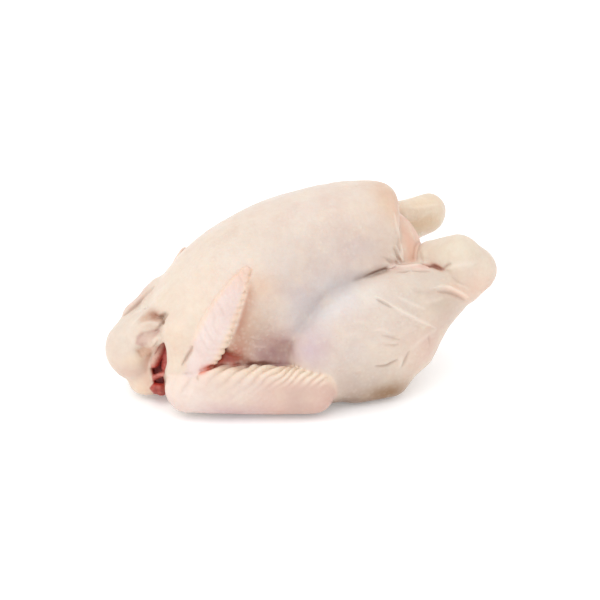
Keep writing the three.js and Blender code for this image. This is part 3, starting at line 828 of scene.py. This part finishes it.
def forearm_skin(skin, P, shape, noise):
    """A scalloped crest with slanting ridges below it, finer to the elbow."""
    s, arc = along_limb(shape.parts[0][0], P)
    below = arc - CREST_AT
    front, on = smooth(below, -5, -2), on_skin(shape, P, 1.4)
    ends, elbow = smooth(s, 8, 18) * (1 - smooth(s, 84, 90)), smooth(s, 50, 64)
    slant = s + 1.3 * np.maximum(below, -3) + 1.8 * noise(P / 11)
    wave = scallops(slant / SOCKETS + np.maximum(slant - FINER_FROM, 0) * (1 / ELBOW_SOCKETS - 1 / SOCKETS))
    crest = np.exp(-(below / 3.5) ** 2)
    flank = smooth(below, -1, 3) * (1 - smooth(below, 5, 15 - 3 * elbow))
    low = smooth(below, 8, 14) * (1 - smooth(below, 20, 32)) * (1 - elbow)
    height = (3 - 1.8 * elbow) * crest + (0.7 + 0.3 * elbow) * flank + 0.3 * low
    skin.lift += on * ends * (wave * height + 0.4 * crest)
    lines = on * ends * (0.7 + 0.3 * elbow) * flank
    # the grooves between the scallops are marked for painted shade, their ridges and the crest for painted
    # highlight
    skin.mark("groove", 0.36 * lines * smooth(below, 0, 4) * smooth(-wave, 0, SCALLOP_MEAN))
    skin.mark("ridge", 0.8 * np.maximum(lines, on * ends * crest) * smooth(wave, 0.05, 0.35))
    skin.paint(FOREARM_SIDE, on * front)
    skin.paint(FOREARM_FOOT, on * smooth(below, 16, 30) * 0.9)
    skin.paint(CREST, on * front * np.exp(-((below - 1) / (6 + 4 * elbow)) ** 2) * 0.95)
    skin.paint(ELBOW, on * smooth(s, 34, 60) * smooth(below, 2, 12) * 0.9)
    skin.paint(BEFORE_ELBOW, on * smooth(below, 6, 16) * np.exp(-((s - 70) / 10) ** 2) * 0.5)
    skin.paint(WRIST, on * front * (1 - smooth(s, 0, 24)) * 0.7)


def paint_hand_shadow(skin, P, shape):
    """Painted shadow, in browns, on the breast next to the hand's edge that faces the tail."""
    t, w, reach = shape.frame_of(P)
    edge, aside = w @ shape.side / reach, np.abs(w @ shape.thin)
    cast_shadow = smooth(shape(P), 0.3, 1.4) * smooth(edge, 0.8, 1.1) * (1 - smooth(aside, 7, 13))
    cast_shadow *= (1 - smooth(t, 0.85, 1)) * smooth(t, 0.02, 0.1)
    skin.paint(HAND_SHADOW_SOFT, 0.8 * cast_shadow * (1 - smooth(edge, 1.3, 2.9)))
    skin.paint(HAND_SHADOW_DARK, 0.9 * cast_shadow * (1 - smooth(edge, 1.1, 2)) * (1 - 0.7 * smooth(t, 0.5, 0.95)))


def hand_skin(skin, P, shape, noise):
    """Teeth along the edge that faces the tail, a short ridge from each, and wrinkles."""
    t, w, reach = shape.frame_of(P)
    edge = w @ shape.side / reach  # from -1 at the neck's side to 1 at the tail's
    s = t * np.linalg.norm(shape.b - shape.a)
    on, ends = on_skin(shape, P, 1.5), smooth(t, 0.05, 0.2)
    tooth = scallops((s + 0.5 * reach * (1 - edge) + 1.3 * noise(P / 10)) / HAND_SOCKETS)
    creased = (s + 0.7 * w @ shape.side + 4 * noise(P / 8)) / WRINKLES
    wrinkle = np.sin(2 * np.pi * creased) * (0.5 + 0.5 * noise(P / 14 + 5))
    teeth = smooth(edge, 0.6, 0.95)
    inner = (1 - smooth(edge, 0.1, 0.6)) * smooth(edge, -1, -0.5)
    skin.lift += on * (ends * (tooth * ((0.8 + 0.5 * t) * teeth + 0.3 * smooth(edge, 0, 0.5))
                               + 0.35 * np.exp(-((edge - 0.85) / 0.2) ** 2))
                       + 0.35 * wrinkle * inner + 0.45 * np.exp(-((edge + 0.9) / 0.22) ** 2))
    # the grooves between the teeth and the wrinkles are marked for painted shade
    skin.mark("groove", on * ends * teeth * 0.14 * smooth(-tooth, 0.25, 0.6))
    skin.mark("groove", on * 0.12 * smooth(-wrinkle, 0.2, 0.8) * inner)
    skin.paint(HAND, on * 0.95)
    skin.paint(HAND_RIM, on * (0.8 * smooth(edge, 0.5, 0.9) + 0.6 * smooth(-edge, 0.6, 0.95)))
    skin.paint(HAND_TIP, on * smooth(t, 0.75, 0.95) * 0.5)
    near = on_skin(shape, P, 3)
    skin.mark("open", 0.8 * near * smooth(-edge, 0.6, 0.9) * smooth(t, 0.3, 0.4))
    skin.mark("open", 0.6 * near * smooth(edge, 0.5, 0.9) * smooth(t, 0.3, 0.6))


def each(name, P):
    """Every shape of a name, after the points in its own axes."""
    for its_name, shape, *_ in shapes():
        if its_name == name:
            yield (P * (1, -1, 1), shape.shape) if isinstance(shape, Mirrored) else (P, shape)


def dress_mouth(skin):
    """Raw flesh in the neck's mouth, and the sheet of skin across it."""
    across, up, deep = MOUTH.seen(skin.P)
    inside = smooth(-MOUTH.edge(across, up), -0.9, 0.3) * smooth(deep, -26, -20) * (1 - smooth(deep, 17, 20))
    here, level = np.stack([across, up, 0 * up], 1), np.tile((0, 0, 1.0), (len(skin.P), 1))

    def line(start, end, width):
        return stroke(here, level, ((*start, 0), (*end, 0)), width)

    skin.paint(FLESH, inside)
    for shade, start, end, width, amount in MOUTH_TINTS:
        skin.paint(shade, inside * amount * line(start, end, width))
    skin.raw = inside * (1 - 0.85 * line(*SHEET, 2.6))
    skin.groove *= 1 - inside
    skin.mark("open", 0.95 * inside)


def dress(skin):
    """Lays everything on the skin, in this order."""
    P, Q, M = skin.P, skin.Q, skin.M
    *of_lumps, of_loose, of_wing = [Noise(seed) for seed in (3, 5, 7, 11, 13)]
    for noise, (height, size) in zip(of_lumps, LUMPS):
        skin.lift += height * noise(P / size)
    height, size = LOOSE_LUMPS
    skin.lift += spot(Q, *LOOSE_SKIN) * height * of_loose(P / size)
    for places, tints in ((Q, TINTS), (P, OWN_TINTS)):
        for shade, middle, reach, amount in tints:
            skin.paint(shade, amount * spot(places, middle, reach))
    behind_breast = smooth(P[:, 0], 26, 30) * (1 - smooth(P[:, 0], 48, 56)) * smooth(P[:, 2], 44, 80)
    for place, shape in each("belly", P):
        skin.paint(PANEL, 0.9 * on_skin(shape, place, 1.6) * behind_breast)

    def lines(table, taper):
        for shade, path, width, amount in table:
            skin.paint(shade, amount * stroke(Q, M, path, width, taper))

    lines(TINT_LINES, 0.4)
    for its in each("hand", P):
        paint_hand_shadow(skin, *its)
    lines(VALLEY_SHADE_LINES, 0.3)
    for its in each("forearm", P):
        forearm_skin(skin, *its, of_wing)
    for its in each("hand", P):
        hand_skin(skin, *its, of_wing)
    lines(FOLD_LINES, 0.3)
    # partly painted light: the far wing's tip painted pale, lighter than the shade it lies in
    skin.paint(WRIST, 0.9 * spot(P, *FAR_TIP))
    for pocket, shade in ((FACET, FACET_SIDE), (LOW_FACET, LOW_FACET_SIDE)):
        *across_up, deep = pocket.seen(P)
        inside = smooth(-pocket.edge(*across_up), -0.8, 1)
        skin.paint(shade, 0.85 * inside * (1 - smooth(np.abs(deep), 5, 8)))
    for path, width, height in LEG_FOLDS + REAR_FOLDS + GATHER_FOLDS + WING_FOLDS:
        skin.fold(Q, M, path, width, height)
    for path, width, height in OWN_FOLDS:
        skin.fold(P, skin.N, path, width, height)
    dress_mouth(skin)
    for places, spots in ((Q, OPEN), (P, OWN_OPEN)):
        for middle, reach, amount in spots:
            skin.mark("open", amount * spot(places, middle, reach))


def closed_in(space, P, N):
    """How shut in each point is, from 0 on open skin to 1 deep in a crease; the material darkens the skin by
    it, as painted shade.
    """
    shut = np.zeros(len(P))
    for reach, share in CLOSENESS:
        shut += share * np.clip((reach - space.sample(P + N * reach)) / reach, 0, 1)
    return np.clip(shut, 0, 1)


# ---- Material

class Nodes:
    """A new material, and what makes and joins its nodes."""

    def __init__(self, name):
        self.material = bpy.data.materials.new(name)
        self.material.use_nodes = True
        self.tree = self.material.node_tree
        self.tree.nodes.clear()

    def add(self, kind, **settings):
        node = self.tree.nodes.new(kind)
        for key, value in settings.items():
            setattr(node, key, value)
        return node

    def put(self, node, name, value):
        """Links a socket, or gives it a value."""
        if isinstance(value, bpy.types.NodeSocket):
            self.tree.links.new(value, node.inputs[name])
        else:
            node.inputs[name].default_value = value

    def mix(self, factor, a, b, blend="MIX"):
        node = self.add("ShaderNodeMix", data_type="RGBA", blend_type=blend)
        self.put(node, 0, factor)
        for socket, color in ((6, a), (7, b)):
            self.put(node, socket, color if isinstance(color, bpy.types.NodeSocket) else (*color, 1))
        return node.outputs[2]

    def math(self, operation, a, b, clamp=False):
        node = self.add("ShaderNodeMath", operation=operation, use_clamp=clamp)
        self.put(node, 0, a)
        self.put(node, 1, b)
        return node.outputs[0]

    def noise(self, scale, detail, rough, place):
        node = self.add("ShaderNodeTexNoise")
        for name, value in (("Scale", scale), ("Detail", detail), ("Roughness", rough), ("Vector", place)):
            self.put(node, name, value)
        return node.outputs["Fac"]

    def spread(self, value, *ends):
        """Turns one range of a value into another: from and to of each."""
        node = self.add("ShaderNodeMapRange")
        for name, number in zip(("Value", "From Min", "From Max", "To Min", "To Max"), (value, *ends)):
            self.put(node, name, number)
        return node.outputs["Result"]

    def attribute(self, name):
        """A colour kept in the mesh."""
        return self.add("ShaderNodeAttribute", attribute_name=name).outputs["Color"]

    def shader(self, **inputs):
        """Ends the material in a shader with these inputs, whose names have _ for a space."""
        node = self.add("ShaderNodeBsdfPrincipled")
        for name, value in inputs.items():
            self.put(node, name.replace("_", " "), value)
        self.put(self.add("ShaderNodeOutputMaterial"), "Surface", node.outputs[0])
        return node


def dimmed(*color):
    return tuple(UNDER_LIGHT * tone(*color))


# Unevenness of the skin's colour: (noise's scale, detail and roughness, from, to, amount, colour, blend)
MOTTLES = (
    (45, 3, 0.55, 0.42, 0.68, 0.2, (0.80, 0.60, 0.55), "MULTIPLY"),
    (70, 2, 0.5, 0.5, 0.75, 0.3, dimmed(250, 232, 206), "MIX"),
    (150, 3, 0.6, 0.4, 0.7, 0.2, (0.86, 0.74, 0.70), "MULTIPLY"),
    (420, 3, 0.65, 0.35, 0.7, 0.14, (0.86, 0.72, 0.64), "MULTIPLY"),
)
PORES_PER_METRE = 300


def skin_material():
    n = Nodes("chicken_skin")
    place = n.add("ShaderNodeTexCoord").outputs["Object"]
    color = n.attribute("tint")
    state = n.add("ShaderNodeSeparateColor")
    n.put(state, 0, n.attribute("state"))
    crease_shade, raw, ridge_highlight = state.outputs[:3]
    for scale, detail, rough, low, high, amount, shade, blend in MOTTLES:
        uneven = n.spread(n.noise(scale, detail, rough, place), low, high, 0, amount)
        color = n.mix(uneven, color, shade, blend)

    pores = n.add("ShaderNodeTexVoronoi", feature="F1")
    n.put(pores, "Scale", PORES_PER_METRE)
    n.put(pores, "Vector", place)
    goose = n.spread(pores.outputs["Distance"], 0.05, 0.5, 1, 0)
    pimpled = n.spread(n.noise(30, 2, 0.5, place), 0.45, 0.62, 0.15, 1)
    goose = n.math("MULTIPLY", goose, pimpled)
    color = n.mix(n.math("MULTIPLY", goose, 0.2), color, dimmed(252, 238, 224))
    # painted highlight along the ridges of folds, partly paler skin pulled tight over them
    color = n.mix(n.math("MULTIPLY", ridge_highlight, 0.55), color, dimmed(255, 242, 226))
    # painted shade in creases and shut-in places, partly the darker colour of skin deep in a fold
    color = n.mix(n.math("MULTIPLY", crease_shade, 0.9, clamp=True), color, (0.52, 0.36, 0.30), "MULTIPLY")
    clots = n.spread(n.noise(230, 3, 0.6, place), 0.4, 0.6, 0, 0.55)
    color = n.mix(n.math("MULTIPLY", raw, clots), color, tuple(tone(*CLOT)))

    fine = n.math("MULTIPLY", n.noise(800, 2, 0.5, place), 0.35)
    height = n.math("ADD", n.math("MULTIPLY", goose, 0.5), fine)
    height = n.math("ADD", height, n.math("MULTIPLY", n.noise(170, 4, 0.6, place), 0.9))
    bump = n.add("ShaderNodeBump")
    for name, value in (("Strength", 0.5), ("Distance", 0.0009), ("Height", height)):
        n.put(bump, name, value)
    roughness = n.spread(n.noise(60, 3, 0.5, place), 0.3, 0.7, 0.34, 0.58)
    shader = n.shader(Base_Color=color, Roughness=roughness, Normal=bump.outputs["Normal"],
                      Subsurface_Weight=0.22, Subsurface_Scale=0.004, Subsurface_Radius=(1.0, 0.45, 0.3),
                      Specular_IOR_Level=0.42, Coat_Weight=0.10, Coat_Roughness=0.3)
    shader.subsurface_method = "RANDOM_WALK"
    return n.material


# ---- The piece

def make_chicken():
    """The mesh: smoothed, drawn back to the surface, and lifted where the skin stands out."""
    space = build()
    points, quads = largest_piece(*surface(space))
    links = neighbours(quads)
    points = relax(points, links, 0.5, 2)
    for _ in range(2):
        g = space.slope(points)
        points = points - g * (space.sample(points) / np.maximum((g * g).sum(1), 0.3))[:, None]
    points = relax(points, links, 0.4, 1)
    skin = Skin(points, normals_of(points, quads))
    dress(skin)
    lift = skin.lift * smooth(points[:, 2], 0.5, 5)
    points = points + skin.N * lift[:, None]
    points[:, 2] = np.maximum(points[:, 2], 0)
    # painted shade: how shut in each point is, with the creases marked on the skin, is kept for the material to
    # darken the colour by
    crease_shade = smooth(closed_in(space, points, normals_of(points, quads)), 0.30, 0.95)
    state = np.stack([np.maximum(crease_shade, skin.groove) * (1 - skin.open), skin.raw, skin.ridge], 1)

    mesh = bpy.data.meshes.new("chicken_skin")
    metres = (points - (MIDDLE_X, 0, 0)) / 1000
    mesh.vertices.add(len(metres))
    mesh.vertices.foreach_set("co", metres.astype(np.float32).ravel())
    mesh.loops.add(quads.size)
    mesh.loops.foreach_set("vertex_index", quads.astype(np.int32).ravel())
    mesh.polygons.add(len(quads))
    mesh.polygons.foreach_set("loop_start", np.arange(0, quads.size, 4, dtype=np.int32))
    mesh.update(calc_edges=True)
    mesh.shade_smooth()
    for name, values in (("tint", skin.tint * UNDER_LIGHT), ("state", state)):
        layer = mesh.color_attributes.new(name, "FLOAT_COLOR", "POINT")
        values = np.concatenate([values, np.ones((len(values), 1))], 1)
        layer.data.foreach_set("color", values.astype(np.float32).ravel())
    mesh.materials.append(skin_material())
    piece = new_object("chicken_skin", mesh)
    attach(piece, "root")
    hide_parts("chicken")


# ---- Floor, light and camera

FLOOR_HALF, FLOOR_DROP, FLOOR_COLOR, FLOOR_GLOW = 9.0, 0.0004, (0.95, 0.95, 0.95), 0.15
SUN_FROM, SUN_SPREAD, SUN_STRENGTH, SUN_COLOR = (-0.55, -0.35, 1.1), 60, 0.85, (1.0, 0.99, 0.97)
WORLD_COLOR, WORLD_STRENGTH = (0.97, 0.98, 1.0, 1), 1.12
AZIMUTH, ELEVATION, DISTANCE, LENS, SENSOR, CLIP_START = 18.5, 24, 1.0, 90, 36, 0.01
TARGET = Vector(((-32 - MIDDLE_X) / 1000, 0, 0.051))


def new_object(name, data):
    made = bpy.data.objects.new(name, data)
    bpy.context.scene.collection.objects.link(made)
    return made


def make_floor():
    """A pale table lit a little from below, as the photograph has hardly a shadow."""
    n = Nodes("floor")
    uneven = n.noise(3, 2, 0.5, n.add("ShaderNodeTexCoord").outputs["Object"])
    color = n.mix(uneven, FLOOR_COLOR, tuple(0.985 * c for c in FLOOR_COLOR))
    n.shader(Base_Color=color, Roughness=0.6, Specular_IOR_Level=0.2, Emission_Color=(0.94, 0.97, 1.0, 1),
             Emission_Strength=FLOOR_GLOW)
    mesh = bpy.data.meshes.new("floor")
    s = FLOOR_HALF
    mesh.from_pydata([(-s, -s, 0), (s, -s, 0), (s, s, 0), (-s, s, 0)], [], [(0, 1, 2, 3)])
    mesh.materials.append(n.material)
    floor = new_object("floor", mesh)
    floor.location.z = -FLOOR_DROP


def make_sun():
    """Soft light that is as bright everywhere."""
    data = bpy.data.lights.new("key", "SUN")
    data.angle, data.energy, data.color = math.radians(SUN_SPREAD), SUN_STRENGTH, SUN_COLOR
    new_object("key", data).rotation_euler = Vector(SUN_FROM).to_track_quat("Z", "Y").to_euler()


def make_camera():
    a, e = math.radians(AZIMUTH), math.radians(ELEVATION)
    back = Vector((-math.sin(a) * math.cos(e), -math.cos(a) * math.cos(e), math.sin(e)))
    data = bpy.data.cameras.new("camera")
    data.lens, data.sensor_width, data.clip_start = LENS, SENSOR, CLIP_START
    camera = new_object("camera", data)
    camera.location = TARGET + back * DISTANCE
    camera.rotation_euler = back.to_track_quat("Z", "Y").to_euler()
    bpy.context.scene.camera = camera


def make_world():
    world = bpy.data.worlds.new("studio")
    world.use_nodes = True
    background = world.node_tree.nodes["Background"]
    background.inputs["Color"].default_value = WORLD_COLOR
    background.inputs["Strength"].default_value = WORLD_STRENGTH
    bpy.context.scene.world = world


make_chicken()
make_floor()
make_world()
make_sun()
make_camera()
view = bpy.context.scene.view_settings
view.view_transform, view.look, view.exposure, view.gamma = "Standard", "None", 0, 1
